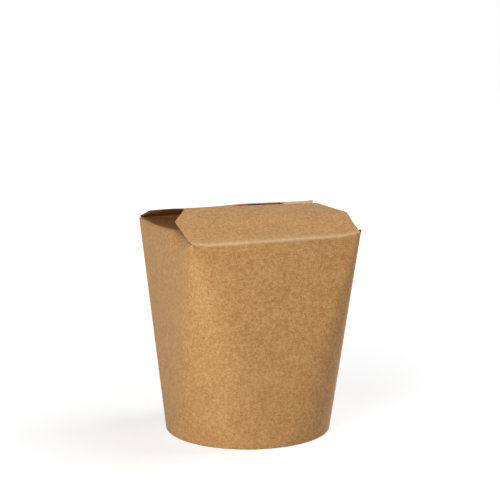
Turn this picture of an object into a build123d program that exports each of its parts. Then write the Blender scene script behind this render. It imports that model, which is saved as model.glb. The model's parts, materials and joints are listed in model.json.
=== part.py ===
from build123d import *
import math
import os

# A folded paperboard snack box: a round foot that opens to a square mouth, and four flaps as a low roof.
# Millimetres. The origin is the middle of the foot where it stands, +Z is up, the front crease faces -Y.

# Board and the clearances between its layers
board = 0.45
seal_gap = 0.05
overrun = 1.0

# Body
rim_height = 110.0
rim_width = 93.4
rim_depth = 85.9
rim_corner_radius = 1.9
foot_diameter = 87.2
foot_flat = 0.5  # straight stretch left on each side of the foot, where a flat panel comes to its point
corner_strips = 20  # flat strips along the rulings that each round corner is drawn in

# Foot: the wall's edge is rolled in and up around the skirt of the bottom disc
disc_height = 8.0
disc_bend_radius = 0.4
hem_height = 6.2
roll_height = 0.75
roll_radius = 0.45
round_steps = 3  # straight steps that each rounded edge of the foot is drawn in

# Glued side seam, at the back right corner: a tab of the side panel inside the back panel
tab_width = 12.0
tab_clearance = 1.5
seam_step_width = 0.8
seam_step_depth = 0.22

# Profile of the roof: how far each bend lies from the crease of its flap and above it, and how round it is.
# All are shares of the depth of the mouth, so the flaps still meet when the mouth changes.
front_tip_shares = (0.2503, 0.0861)
front_edge_shares = (0.4214, 0.1269)
front_knee_share = 0.163
back_tip_shares = (0.2386, 0.071)
back_brow_shares = (0.4237, 0.1024)
back_tip_bend_share = 0.291
back_brow_bend_share = 0.4657

# Front flap
crease_gap = 0.1
front_root_clearance = 0.7
front_tip_overhang = 0.6
front_edge_length_share = 0.7837
front_tip_radius = 0.7
front_corner_radius = 1.4

# Tongue of the front flap, bent down into the slot of the back flap
tongue_width = 33.0
tongue_length = 9.0
tongue_set_back = 1.1
tongue_bend_radius = 1.0
tongue_corner_radius = 4.0

# Back flap
back_root_clearance = 2.5
back_shoulder_clearance = 0.5
back_shoulder_reach = 2.4
back_taper_share = 0.487  # how far each side edge draws in for each millimetre past the tip
back_fold_radius = 0.8
ridge_bend_radius = 4.0
back_tip_corner_radius = 0.4
back_end_corner_radius = 7.0
back_tuck = 7.5
lap_gap = 0.22

# Slot in the back flap
slot_clearance = 0.5
ridge_to_slot = 1.2

# Side flaps
side_root_clearance = 2.95
side_end_length_share = 0.7218
side_reach_share = 0.3747
side_fall = 2.4
side_fold_radius = 2.0
side_end_corner_radius = 8.0

# Relief cuts at the corners of the mouth
relief = 0.4

# Derived sizes
front_tip_reach, front_tip_rise = [share * rim_depth for share in front_tip_shares]
front_edge_reach, front_edge_rise = [share * rim_depth for share in front_edge_shares]
front_knee_radius = front_knee_share * rim_depth
front_root_length = rim_width - 2 * front_root_clearance
front_tip_spread = rim_width + 2 * front_tip_overhang
front_edge_length = front_edge_length_share * rim_width
back_tip_reach, back_tip_rise = [share * rim_depth for share in back_tip_shares]
back_brow_reach, back_brow_rise = [share * rim_depth for share in back_brow_shares]
back_tip_bend_radius = back_tip_bend_share * rim_depth
back_brow_bend_radius = back_brow_bend_share * rim_depth
back_root_length = rim_width - 2 * back_root_clearance
back_shoulder_width = rim_width - 2 * back_shoulder_clearance
side_root_length = rim_depth - 2 * side_root_clearance
side_end_length = side_end_length_share * rim_depth
side_reach = side_reach_share * rim_width

# Derived places
hinge_y = board / 2 - rim_depth / 2
hinge_z = rim_height - board / 2
front_wall_top = hinge_z - board / 2 - crease_gap
back_wall_top = rim_height - board / 2 - back_fold_radius
side_wall_top = rim_height - board / 2 - side_fold_radius - seal_gap
skirt_inset = board + seal_gap
hem_outer_inset = skirt_inset + board + seal_gap
hem_inner_inset = hem_outer_inset + board
skirt_foot = roll_height + seal_gap
far = 2 * rim_height  # longer than any cut has to be


def along(start, end, height):
    """A size that runs evenly from its value at the foot to its value at the rim."""
    return start + (end - start) * height / rim_height


def section(height, inset=0.0):
    """Points of a level cut through the body, drawn in by an inset: round at the foot, square at the rim."""
    level = max(height, 0)
    radius = along((foot_diameter - foot_flat) / 2, rim_corner_radius, level) - inset
    centre_x = along(foot_diameter, rim_width, level) / 2 - inset - radius
    centre_y = along(foot_diameter, rim_depth, level) / 2 - inset - radius
    points = []
    for quarter, (side_x, side_y) in enumerate([(1, 1), (-1, 1), (-1, -1), (1, -1)]):
        for step in range(corner_strips + 1):
            turn = math.radians(90 * (quarter + step / corner_strips))
            x = side_x * centre_x + radius * math.cos(turn)
            y = side_y * centre_y + radius * math.sin(turn)
            points.append(Vector(x, y, height))
    return points


def panel(points):
    """Flat face on an outline."""
    return Face(Wire.make_polygon(points))


def stack(stations):
    """Solid through level cuts, each a height and an inset. Its rulings join equal turns, so each strip is flat."""
    rings = [section(height, inset) for height, inset in stations]
    panels = [panel(rings[0]), panel(rings[-1])]
    for lower, upper in zip(rings, rings[1:]):
        for index in range(len(lower)):
            panels.append(panel([lower[index - 1], lower[index], upper[index], upper[index - 1]]))
    return Solid(Shell(panels))


def body(low, high, inset=0.0):
    """Solid of the body between two heights, drawn in by an inset."""
    return stack([(low, inset), (high, inset)])


def rounded_edge(level, inset, radius_up, radius_in):
    """Stations of a rounded edge, from the flat at its level to the upright side that lies at the inset."""
    stations = []
    for step in range(round_steps + 1):
        turn = math.radians(90 * step / round_steps)
        height = level + radius_up * (1 - math.cos(turn))
        stations.append((height, inset + radius_in * (1 - math.sin(turn))))
    return stations


def seam_slab(width, low, high, side):
    """Upright slab beside the ruling that runs up the back right corner, on one side of it."""
    half_foot = foot_diameter / 2 * math.sqrt(0.5)
    lost = rim_corner_radius * (1 - math.sqrt(0.5))
    run_x = rim_width / 2 - lost - half_foot
    run_y = rim_depth / 2 - lost - half_foot
    turn = math.degrees(math.atan2(run_y, run_x))
    slab = Box(far, width, high - low, align=(Align.MIN, side, Align.MIN))
    return Pos(half_foot, half_foot, low) * Rot(0, 0, turn) * Pos(-tab_width, 0, 0) * slab


def mouth_cut(length_x, length_y, centre_x, centre_y, low):
    """Room for the fold of one flap, cut down into the top of the wall."""
    block = Box(length_x, length_y, far, align=(Align.CENTER, Align.CENTER, Align.MIN))
    return Pos(centre_x, centre_y, low) * block


def wall():
    """The wall from its foot to its rim, with the glued tab inside and the open mouth ready for the folds."""
    tab_foot = disc_height + tab_clearance
    tab_top = side_wall_top - tab_clearance
    hollow = body(roll_height, front_wall_top, board)
    hollow -= seam_slab(tab_width, tab_foot, tab_top, Align.MIN)
    outside = stack(rounded_edge(0, 0, roll_radius, roll_radius) + [(front_wall_top, 0)])
    sheet = outside - hollow - body(roll_height, front_wall_top, 2 * board)

    step = seam_slab(seam_step_width, roll_height, rim_height + overrun, Align.MAX)
    sheet -= step - body(0, rim_height + 2 * overrun, seam_step_depth)

    fold_room = 2 * (side_fold_radius + board)
    sheet -= mouth_cut(back_root_length + 2 * relief, fold_room, 0, rim_depth / 2, back_wall_top)
    for edge_x in (-rim_width / 2, rim_width / 2):
        sheet -= mouth_cut(fold_room, side_root_length + 2 * relief, edge_x, 0, side_wall_top)
    return sheet


def rolled_foot(sheet):
    """The wall's lower edge: a rolled bead, and the hem that stands up inside the skirt of the bottom disc."""
    throat = [(-overrun, hem_inner_inset - roll_radius)]
    throat += rounded_edge(0, hem_inner_inset, roll_radius, -roll_radius)
    throat.append((roll_height + overrun, hem_inner_inset))
    sheet -= stack(throat)
    hem = body(roll_height, hem_height, hem_outer_inset)
    hem -= body(roll_height - overrun, hem_height + overrun, hem_inner_inset)
    return sheet + hem


def bent_sheet(path, radii, plane, length):
    """A sheet bent along a path in a plane, and drawn out square to the plane."""
    profile = trace(FilletPolyline(*path, radius=radii), line_width=board)
    return extrude(plane * profile, length / 2, both=True)


def outline(points, corners, low):
    """Upright prism on a plan outline. Each named corner gives a point of the outline and its radius."""
    face = make_face(Polyline(*points, close=True))
    for corner, radius in corners:
        face = fillet(face.vertices().sort_by_distance(corner)[0], radius)
    return extrude(Pos(0, 0, low) * face, far)


def front_height(reach):
    """Height of the front flap's middle line over the hinge, past its tips."""
    rise = (front_edge_rise - front_tip_rise) / (front_edge_reach - front_tip_reach)
    return front_edge_rise + (reach - front_edge_reach) * rise


def tongue_root():
    """Where the front flap's middle line turns down into the tongue, seen from the hinge."""
    reach = front_edge_reach + tongue_set_back
    return Vector(reach, front_height(reach))


def tongue_turn():
    """Angle at the hinge between the tongue's root and its end, which lie on one circle about the hinge."""
    return 2 * math.degrees(math.asin(tongue_length / 2 / tongue_root().length))


def slot_edges():
    """Front and back edge of the slot, seen from the hinge: it clears the circle that the tongue swings on."""
    swing = tongue_root().length
    level = front_height(front_edge_reach) - board - lap_gap
    inner = swing * math.cos(math.radians(tongue_turn() / 2)) - board / 2
    outer = swing + board / 2
    front = math.sqrt(inner**2 - level**2) - slot_clearance
    back = math.sqrt(outer**2 - (level - board) ** 2) + slot_clearance
    return front, back


def front_flap():
    """The closing flap: six-sided, bent across its tips, with a round root at the hinge and the tongue."""
    root = tongue_root()
    path = [(0, 0), (front_tip_reach, front_tip_rise), root, root.rotate(Axis.Z, -tongue_turn())]
    plane = Plane(origin=(0, hinge_y, hinge_z), x_dir=(0, 1, 0), z_dir=(1, 0, 0))
    sheet = bent_sheet(path, [front_knee_radius, tongue_bend_radius], plane, front_tip_spread)

    tip = (front_tip_spread / 2, hinge_y + front_tip_reach)
    edge = (front_edge_length / 2, hinge_y + front_edge_reach)
    base = (front_root_length / 2, hinge_y)
    tongue_end = (tongue_width / 2, hinge_y + root.length + board)
    right = [base, tip, edge, (tongue_width / 2, edge[1]), tongue_end]
    left = [(-x, y) for x, y in reversed(right)]
    corners = []
    for sign in (-1, 1):
        corners.append(((sign * tip[0], tip[1]), front_tip_radius))
        corners.append(((sign * edge[0], edge[1]), front_corner_radius))
    sheet &= outline(right + left, corners, 0)

    thin_edges = sheet.edges().filter_by(lambda edge: edge.length < 2 * board)
    ends = []
    for sign in (-1, 1):
        corner = (sign * tongue_width / 2, hinge_y + path[-1].X, hinge_z + path[-1].Y)
        ends.append(thin_edges.sort_by_distance(corner)[0])
    sheet = fillet(ends, tongue_corner_radius)
    knuckle = extrude(plane * Circle(board / 2), front_root_length / 2, both=True)
    return sheet + knuckle


def back_flap():
    """The flap under the front one: it climbs to the ridge, tucks down behind it and holds the tongue."""
    front_edge, back_edge = slot_edges()
    crease_y = along(foot_diameter, rim_depth, back_wall_top) / 2 - board / 2
    ridge_reach = front_edge - ridge_to_slot
    tuck_reach = ridge_reach - back_tuck
    drop = board + lap_gap
    path = [
        (crease_y, back_wall_top - overrun),
        (crease_y, hinge_z),
        (crease_y - back_tip_reach, hinge_z + back_tip_rise),
        (crease_y - back_brow_reach, hinge_z + back_brow_rise),
        (hinge_y + ridge_reach, hinge_z + front_height(ridge_reach) - drop),
        (hinge_y + tuck_reach, hinge_z + front_height(tuck_reach) - drop),
    ]
    radii = [back_fold_radius, back_tip_bend_radius, back_brow_bend_radius, ridge_bend_radius]
    sheet = bent_sheet(path, radii, Plane.YZ, rim_width)

    tip_y = crease_y - back_tip_reach
    end_y = hinge_y + tuck_reach
    end_half = rim_width / 2 - back_taper_share * (tip_y - end_y)
    right = [
        (back_root_length / 2, crease_y + board),
        (back_root_length / 2, crease_y - board),
        (back_shoulder_width / 2, crease_y - back_shoulder_reach),
        (rim_width / 2, tip_y),
        (end_half, end_y),
    ]
    left = [(-x, y) for x, y in reversed(right)]
    corners = []
    for sign in (-1, 1):
        corners.append(((sign * rim_width / 2, tip_y), back_tip_corner_radius))
        corners.append(((sign * end_half, end_y), back_end_corner_radius))
    sheet &= outline(right + left, corners, back_wall_top)

    slot_length = tongue_width + 2 * slot_clearance + (back_edge - front_edge)
    slot = SlotOverall(slot_length, back_edge - front_edge)
    return sheet - extrude(Pos(0, hinge_y + (front_edge + back_edge) / 2, rim_height) * slot, far)


def side_flap():
    """The right flap: a soft fold at the rim, and a plain leaf that slopes down under the back flap."""
    crease_x = along(foot_diameter, rim_width, side_wall_top) / 2 - board / 2
    end_x = crease_x - side_reach
    path = [(crease_x, side_wall_top - overrun), (crease_x, hinge_z), (end_x, hinge_z - side_fall)]
    sheet = bent_sheet(path, [side_fold_radius], Plane.XZ, side_root_length)
    root_x = crease_x - side_fold_radius
    points = [
        (crease_x + board, -side_root_length / 2),
        (crease_x + board, side_root_length / 2),
        (root_x, side_root_length / 2),
        (end_x, side_end_length / 2),
        (end_x, -side_end_length / 2),
        (root_x, -side_root_length / 2),
    ]
    corners = [((end_x, sign * side_end_length / 2), side_end_corner_radius) for sign in (-1, 1)]
    return sheet & outline(points, corners, side_wall_top)


def base_disc():
    """The bottom: a disc set up inside the foot, with its edge turned down as a skirt."""
    bend = rounded_edge(disc_height, skirt_inset, -disc_bend_radius, disc_bend_radius)
    disc = stack([(skirt_foot, skirt_inset)] + bend[::-1])
    return disc - body(skirt_foot - overrun, disc_height - board, skirt_inset + board)


def carton():
    """The one folded sheet: wall, rolled foot, back flap and the two side flaps."""
    right = side_flap()
    return rolled_foot(wall()) + back_flap() + right + mirror(right, Plane.YZ)


os.makedirs("parts", exist_ok=True)
export_step(carton(), "parts/carton.step")
export_step(front_flap(), "parts/front_flap.step")
export_step(base_disc(), "parts/base_disc.step")
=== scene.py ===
"""A folded kraft board snack box: sheets of board with folds, cut edges, a glued seam and paper grain."""

import json
import logging
import math
from collections.abc import Callable, Sequence
from dataclasses import dataclass, field
from enum import Enum
from functools import lru_cache

import bmesh
import bpy
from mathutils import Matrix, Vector
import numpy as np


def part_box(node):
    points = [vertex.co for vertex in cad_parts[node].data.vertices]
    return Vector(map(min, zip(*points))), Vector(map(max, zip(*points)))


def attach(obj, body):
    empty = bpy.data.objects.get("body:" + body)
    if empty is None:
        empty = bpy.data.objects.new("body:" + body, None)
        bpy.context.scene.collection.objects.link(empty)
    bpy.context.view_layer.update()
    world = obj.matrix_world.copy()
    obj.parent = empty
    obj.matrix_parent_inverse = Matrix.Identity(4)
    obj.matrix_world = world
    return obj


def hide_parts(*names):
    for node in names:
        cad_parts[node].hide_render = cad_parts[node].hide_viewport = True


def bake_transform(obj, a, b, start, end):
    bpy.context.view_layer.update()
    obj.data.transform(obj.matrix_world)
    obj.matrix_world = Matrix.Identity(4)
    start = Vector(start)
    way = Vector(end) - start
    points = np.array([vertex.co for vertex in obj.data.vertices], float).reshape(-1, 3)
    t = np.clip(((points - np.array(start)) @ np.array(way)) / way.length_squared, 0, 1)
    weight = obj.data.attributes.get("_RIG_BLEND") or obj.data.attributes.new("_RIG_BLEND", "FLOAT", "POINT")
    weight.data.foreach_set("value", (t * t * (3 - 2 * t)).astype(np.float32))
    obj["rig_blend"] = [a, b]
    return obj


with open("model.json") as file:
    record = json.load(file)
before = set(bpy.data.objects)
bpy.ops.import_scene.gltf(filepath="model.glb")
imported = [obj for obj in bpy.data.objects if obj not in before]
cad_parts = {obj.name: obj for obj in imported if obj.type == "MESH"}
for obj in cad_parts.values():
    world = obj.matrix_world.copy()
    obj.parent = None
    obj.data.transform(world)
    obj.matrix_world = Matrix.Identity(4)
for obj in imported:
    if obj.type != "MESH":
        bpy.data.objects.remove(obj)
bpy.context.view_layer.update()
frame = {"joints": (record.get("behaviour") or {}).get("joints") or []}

MM = 0.001
SAME_HEIGHT = 0.01 * MM
UP = Vector((0.0, 0.0, 1.0))
LOG = logging.getLogger("snack_box")

BOX_BODY = "box"
FLAP_BODY = "closing_flap"

Colour = tuple[float, float, float]
Place = Callable[[int, int], tuple[Vector, float]]
Socket = bpy.types.NodeSocket
Finish = bpy.types.Material


def mix(start: float, end: float, share: float) -> float:
    """Value that lies a share of the way from start to end."""
    return start + (end - start) * share


def smooth(share: float) -> float:
    """Share from 0 to 1 that eases in and out, held at 0 and 1 outside them."""
    share = min(max(share, 0.0), 1.0)
    return share * share * (3.0 - 2.0 * share)


def steps(count: int) -> list[float]:
    """Even shares from just past 0 up to 1, in a number of steps."""
    return [step / count for step in range(1, count + 1)]


def linear(red: int, green: int, blue: int) -> Colour:
    """Linear colour of a screen colour given in whole numbers up to 255."""
    shares = (red / 255, green / 255, blue / 255)
    return tuple(
        share / 12.92 if share <= 0.04045 else ((share + 0.055) / 1.055) ** 2.4 for share in shares
    )


def add_object(name: str, data: bpy.types.ID) -> bpy.types.Object:
    """Makes an object from its data and puts it in the scene."""
    made = bpy.data.objects.new(name, data)
    bpy.context.scene.collection.objects.link(made)
    return made


def aim(thing: bpy.types.Object, direction: Vector, axis: str) -> None:
    """Turns a thing so that one of its own axes points in a direction."""
    thing.rotation_mode = "QUATERNION"
    thing.rotation_quaternion = direction.to_track_quat(axis, "Y")


class Side(Enum):
    """A side of the box. Its value is the number of quarter turns from the front, seen from above."""

    FRONT = 0
    RIGHT = 1
    BACK = 2
    LEFT = 3

    def outward(self) -> Vector:
        """Level direction that points out of this side."""
        turn = math.radians(90 * self.value)
        return Vector((math.sin(turn), -math.cos(turn), 0.0))

    def across(self) -> Vector:
        """Level direction along this side, towards the next one."""
        turn = math.radians(90 * self.value)
        return Vector((math.cos(turn), math.sin(turn), 0.0))


class Face(Enum):
    """Material places on a sheet of board."""

    OUTSIDE = 0
    INSIDE = 1
    EDGE = 2


@dataclass(frozen=True)
class BoxSizes:
    """Driving sizes of the box in metres, as the frame has them."""

    board: float
    rim_height: float
    rim_width: float
    rim_depth: float
    foot_diameter: float
    hinge_y: float
    hinge_z: float
    tip_spread: float
    disc_height: float

    @classmethod
    def from_frame(cls, board: float = 0.45 * MM) -> "BoxSizes":
        """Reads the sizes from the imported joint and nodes.

        Args:
            board: Thickness of the board.

        Returns:
            The sizes of the box.
        """
        hinge = Vector(frame["joints"][0]["pos_m"])
        carton_low, carton_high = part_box("carton")
        flap_low, flap_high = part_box("front_flap")
        return cls(
            board=board,
            rim_height=hinge.z + board / 2,
            rim_width=carton_high.x - carton_low.x,
            rim_depth=board - 2 * hinge.y,
            foot_diameter=carton_high.y - carton_low.y,
            hinge_y=hinge.y,
            hinge_z=hinge.z,
            tip_spread=flap_high.x - flap_low.x,
            disc_height=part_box("base_disc")[1].z,
        )


@dataclass(frozen=True)
class Station:
    """A place round the wall: a share of the way along one side, or round the corner that follows it."""

    side: Side
    share: float
    corner: bool = False


@dataclass(frozen=True)
class Corner:
    """How the flat stretches bow in towards a corner, as a bent sheet does, and how it swells."""

    rim_depth: float
    rim_reach: float
    wall_depth: float
    wall_reach: float
    swell: float = 0.0


@dataclass(frozen=True)
class WallShape:
    """The ruled wall from a round foot to a square rim, and the glued lap at its back right corner."""

    sizes: BoxSizes
    rim_corner: float = 1.9 * MM
    foot_flat: float = 0.5 * MM
    lap_gap: float = 0.05 * MM
    joggle_run: float = 2.5 * MM
    joggle_foot: float = 2.0 * MM
    joggle_full: float = 4.0 * MM
    bow_run: float = 14.0 * MM
    swell_start: float = 5.0 * MM
    swell_run: float = 8.0 * MM
    tight_corner: Corner = Corner(0.1 * MM, 3.5 * MM, 0.15 * MM, 7.5 * MM)
    soft_corner: Corner = Corner(0.15 * MM, 3.5 * MM, 1.3 * MM, 6.5 * MM, swell=4.5 * MM)
    soft_side: Side = Side.LEFT

    def half_sizes(self, height: float, inset: float) -> tuple[float, float, float]:
        """Half width, half depth and corner radius of the level cut at a height.

        Args:
            height: Height over the floor.
            inset: How far the cut is drawn in from the outer face.

        Returns:
            Half width, half depth and corner radius.
        """
        level = max(height, 0.0) / self.sizes.rim_height
        half_width = mix(self.sizes.foot_diameter, self.sizes.rim_width, level) / 2 - inset
        half_depth = mix(self.sizes.foot_diameter, self.sizes.rim_depth, level) / 2 - inset
        radius = mix((self.sizes.foot_diameter - self.foot_flat) / 2, self.rim_corner, level) - inset
        return half_width, half_depth, radius

    def panel(self, side: Side, height: float, inset: float) -> tuple[float, float, float]:
        """Distance of a side from the middle, half its flat length, and the radius of its corners.

        Args:
            side: The side.
            height: Height over the floor.
            inset: How far in from the outer face.

        Returns:
            Distance, half flat length and corner radius.
        """
        half_width, half_depth, radius = self.half_sizes(height, inset)
        if side in (Side.FRONT, Side.BACK):
            return half_depth, half_width - radius, radius
        return half_width, half_depth - radius, radius

    def corner(self, side: Side, height: float) -> tuple[float, float, float]:
        """How the corner that follows a side differs from a plain round one.

        Args:
            side: The side before the corner.
            height: Height over the floor.

        Returns:
            How much larger its radius is, how deep the flat stretches bow in at it,
            and how far along they do.
        """
        shape = self.soft_corner if side is self.soft_side else self.tight_corner
        drop = self.sizes.rim_height - height
        level = min(max(height / self.sizes.rim_height, 0.0), 1.0) ** 2
        grown = smooth(drop / self.bow_run)
        swell = shape.swell * smooth((drop - self.swell_start) / self.swell_run) * level
        depth = mix(shape.rim_depth, shape.wall_depth, grown) * level
        return swell, depth, mix(shape.rim_reach, shape.wall_reach, grown)

    def flat_ends(self, side: Side, height: float, inset: float) -> tuple[float, float]:
        """Where the flat stretch of a side starts and ends.

        Args:
            side: The side.
            height: Height over the floor.
            inset: How far in from the outer face.

        Returns:
            Places along the side, measured from its middle.
        """
        half_flat = self.panel(side, height, inset)[1]
        before = Side((side.value - 1) % 4)
        return self.corner(before, height)[0] - half_flat, half_flat - self.corner(side, height)[0]

    def bow(self, station: Station, height: float) -> float:
        """How far a flat stretch is drawn in by the bow at a place.

        Args:
            station: Place on a flat stretch.
            height: Height over the floor.

        Returns:
            Extra inset at that place.
        """
        start, end = self.flat_ends(station.side, height, 0.0)
        length = end - start
        before = Side((station.side.value - 1) % 4)
        total = 0.0
        for side, share in ((before, station.share), (station.side, 1.0 - station.share)):
            _, depth, reach = self.corner(side, height)
            far = math.exp(-length / reach)
            total += depth * (math.exp(-length * share / reach) - far) / (1.0 - far)
        return total

    def lap(self, station: Station, height: float) -> float:
        """How far the board steps in under the back panel, close to the seam.

        Args:
            station: Place round the wall.
            height: Height over the floor.

        Returns:
            Extra inset at that place.
        """
        if station.side is not Side.RIGHT:
            return 0.0
        _, half_flat, radius = self.panel(Side.RIGHT, height, 0.0)
        if station.corner:
            distance = radius * (0.5 - station.share) * math.pi / 2
        else:
            distance = radius * math.pi / 4 + (1.0 - station.share) * 2 * half_flat
        if station.corner and station.share > 0.5:
            return 0.0
        rise = smooth((height - self.joggle_foot) / (self.joggle_full - self.joggle_foot))
        return (self.sizes.board + self.lap_gap) * rise * smooth(1.0 - distance / self.joggle_run)

    def place(self, station: Station, height: float, inset: float) -> Vector:
        """Point of the wall.

        Args:
            station: Place round the wall.
            height: Height over the floor.
            inset: How far in from the outer face.

        Returns:
            The point, in metres.
        """
        distance, _, radius = self.panel(station.side, height, inset)
        start, end = self.flat_ends(station.side, height, inset)
        outward, across = station.side.outward(), station.side.across()
        if not station.corner:
            distance -= self.bow(station, height)
            return outward * distance + across * mix(start, end, station.share) + UP * height
        swell, depth, reach = self.corner(station.side, height)
        tilt = math.atan(depth / reach)
        bend = (radius + swell - depth) / (math.cos(tilt) - math.sin(tilt))
        turn = mix(tilt, math.pi / 2 - tilt, station.share)
        out = distance - depth + bend * (math.cos(turn) - math.cos(tilt))
        along = end + bend * (math.sin(turn) - math.sin(tilt))
        return outward * out + across * along + UP * height


class BentPath:
    """Straight runs joined by round bends, in the plane square to a fold, measured along the length."""

    def __init__(self, corners: Sequence[tuple[float, float]], radii: Sequence[float]) -> None:
        """Lays the path out.

        Args:
            corners: Points as distance from the middle of the box and height.
            radii: Radius of the bend at each corner between the ends.
        """
        points = [Vector(corner) for corner in corners]
        self.runs: list[tuple[float, Vector, Vector, float]] = []
        self.bends: list[tuple[float, float]] = []
        self.length = 0.0
        start = points[0]
        for before, corner, after, radius in zip(points, points[1:], points[2:], radii):
            ahead, beyond = (corner - before).normalized(), (after - corner).normalized()
            turn = math.atan2(ahead.x * beyond.y - ahead.y * beyond.x, ahead.dot(beyond))
            trim = radius * math.tan(abs(turn) / 2)
            self._add((corner - start).length - trim, start, ahead, 0.0)
            bend_start = self.length
            self._add(radius * abs(turn), corner - ahead * trim, ahead, math.copysign(1 / radius, turn))
            self.bends.append((bend_start, self.length))
            start = corner + beyond * trim
        ahead = (points[-1] - start).normalized()
        self._add((points[-1] - start).length, start, ahead, 0.0)

    def _add(self, length: float, start: Vector, ahead: Vector, curl: float) -> None:
        """Adds a run of a given length, direction and curvature."""
        self.runs.append((length, start, ahead, curl))
        self.length += length

    def at(self, length: float) -> Vector:
        """Point at a length along the path.

        Args:
            length: Length from the start.

        Returns:
            Distance from the middle of the box, and height.
        """
        for run_length, start, ahead, curl in self.runs[:-1]:
            if length <= run_length:
                break
            length -= run_length
        else:
            _, start, ahead, curl = self.runs[-1]
        if curl == 0.0:
            return start + ahead * length
        aside = Vector((-ahead.y, ahead.x))
        turn = curl * length
        return start + (ahead * math.sin(turn) + aside * (1 - math.cos(turn))) / curl

    def where(self, distance: float) -> float:
        """Length at which the path, past its first bend, comes in to a distance from the middle of the box.

        Args:
            distance: Distance from the middle.

        Returns:
            Length along the path.
        """
        low, high = self.bends[0][0], self.length
        for _ in range(48):
            middle = (low + high) / 2
            if self.at(middle).x > distance:
                low = middle
            else:
                high = middle
        return (low + high) / 2


@dataclass(frozen=True)
class Outline:
    """Half width of a flap by its distance from the middle of the box, with round corners at its end."""

    points: tuple[tuple[float, float], ...]
    end_round: float

    def half(self, distance: float) -> float:
        """Half width at a distance from the middle of the box.

        Args:
            distance: Distance from the middle, measured inwards from the crease.

        Returns:
            The half width.
        """
        width = self.points[-1][1]
        if distance >= self.points[0][0]:
            return self.points[0][1]
        for (outer, outer_half), (inner, inner_half) in zip(self.points, self.points[1:]):
            if distance >= inner:
                width = mix(outer_half, inner_half, (outer - distance) / (outer - inner))
                break
        past = 1.0 - min(max((distance - self.points[-1][0]) / self.end_round, 0.0), 1.0)
        return width - self.end_round * (1.0 - math.sqrt(1.0 - past * past))


class SheetMesh:
    """A sheet of board in the making: grids that are bent to shape, joined, and given their thickness."""

    weld_distance: float = 0.012 * MM
    sharp_angle: float = math.radians(40)

    def __init__(self, name: str) -> None:
        """Starts an empty sheet.

        Args:
            name: Name of the piece.
        """
        self.name = name
        self.mesh = bmesh.new()
        # Mask that the finishes colour the board by: paler along folds, with painted sheen beside the back
        # flap's slot and painted shade on its free left edge.
        self.fold_and_painted_light = self.mesh.verts.layers.float.new("fold_and_painted_light_mask")

    def add_grid(
        self,
        columns: int,
        rows: int,
        place: Place,
        drop: Callable[[int, int], bool] | None = None,
    ) -> None:
        """Adds a grid of faces and bends it to shape.

        Args:
            columns: Number of faces from side to side.
            rows: Number of faces along the sheet.
            place: Gives the point and the mask value of a column line and a row line.
            drop: Says which faces, by column and row, are cut away.
        """
        made = bmesh.ops.create_grid(self.mesh, x_segments=columns, y_segments=rows, size=1.0)
        where = {
            vert: (round((vert.co.x + 1) / 2 * columns), round((vert.co.y + 1) / 2 * rows))
            for vert in made["verts"]
        }
        faces = {face for vert in where for face in vert.link_faces}
        if drop:
            cut = [
                face
                for face in faces
                if drop(*(min(where[vert][axis] for vert in face.verts) for axis in range(2)))
            ]
            bmesh.ops.delete(self.mesh, geom=cut, context="FACES")
        for vert, (column, row) in where.items():
            if vert.is_valid:
                vert.co, vert[self.fold_and_painted_light] = place(column, row)

    def finish(self, thickness: float, finishes: Sequence[Finish]) -> bpy.types.Object:
        """Joins the grids, gives the sheet its thickness and makes it an object.

        Args:
            thickness: Thickness of the board.
            finishes: Materials of the outside, the inside and the cut edges.

        Returns:
            The finished object.
        """
        bmesh.ops.remove_doubles(self.mesh, verts=self.mesh.verts[:], dist=self.weld_distance)
        flat = bpy.data.meshes.new(self.name)
        self.mesh.to_mesh(flat)
        self.mesh.free()
        rest = flat.attributes.new("board_place", "FLOAT_VECTOR", "POINT")
        rest.data.foreach_set("vector", [value for vert in flat.vertices for value in vert.co])
        for finish in finishes:
            flat.materials.append(finish)
        piece = add_object(self.name, flat)

        solid = piece.modifiers.new("board", "SOLIDIFY")
        solid.thickness = thickness
        solid.offset = 0.0
        solid.material_offset = Face.INSIDE.value
        solid.material_offset_rim = Face.EDGE.value
        evaluated = piece.evaluated_get(bpy.context.evaluated_depsgraph_get())
        made = bpy.data.meshes.new_from_object(evaluated)
        piece.modifiers.clear()
        piece.data = made
        made.name = self.name
        made.polygons.foreach_set("use_smooth", [True] * len(made.polygons))
        made.set_sharp_from_angle(angle=self.sharp_angle)
        LOG.info("%s: %d faces", self.name, len(made.polygons))
        return piece


@dataclass(frozen=True)
class Roof:
    """How the closed flaps lean: their left side stands a little higher than their right one."""

    sizes: BoxSizes
    lean_rise: float = 0.85 * MM
    lean_half: float = 36.6 * MM
    ridge_y: float = -7.4 * MM
    back_y: float = 42.5 * MM

    def settle(self, point: Vector) -> Vector:
        """Moves a point of a flap to where the closed flaps lean.

        Args:
            point: The point on the even flap.

        Returns:
            The point on the leaning flap.
        """
        if point.y < self.ridge_y:
            weight = max(point.y - self.sizes.hinge_y, 0.0) / (self.ridge_y - self.sizes.hinge_y)
            weight = weight**1.5
        else:
            weight = smooth((self.back_y - point.y) / (self.back_y - self.ridge_y))
        return point - UP * (self.lean_rise * weight * point.x / self.lean_half)


def row_places(start: int, counts: Sequence[int], round_end: int = 0) -> list[float]:
    """Rows of a flap past one of its anchors.

    Args:
        start: Number of the anchor.
        counts: Number of even rows up to each next anchor.
        round_end: Number of rows of a round end past the last of those anchors.

    Returns:
        The rows, in anchors from the root.
    """
    rows = [start + index + share for index, count in enumerate(counts) for share in steps(count)]
    return rows + [start + len(counts) + math.sin(share * math.pi / 2) for share in steps(round_end)]


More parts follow.
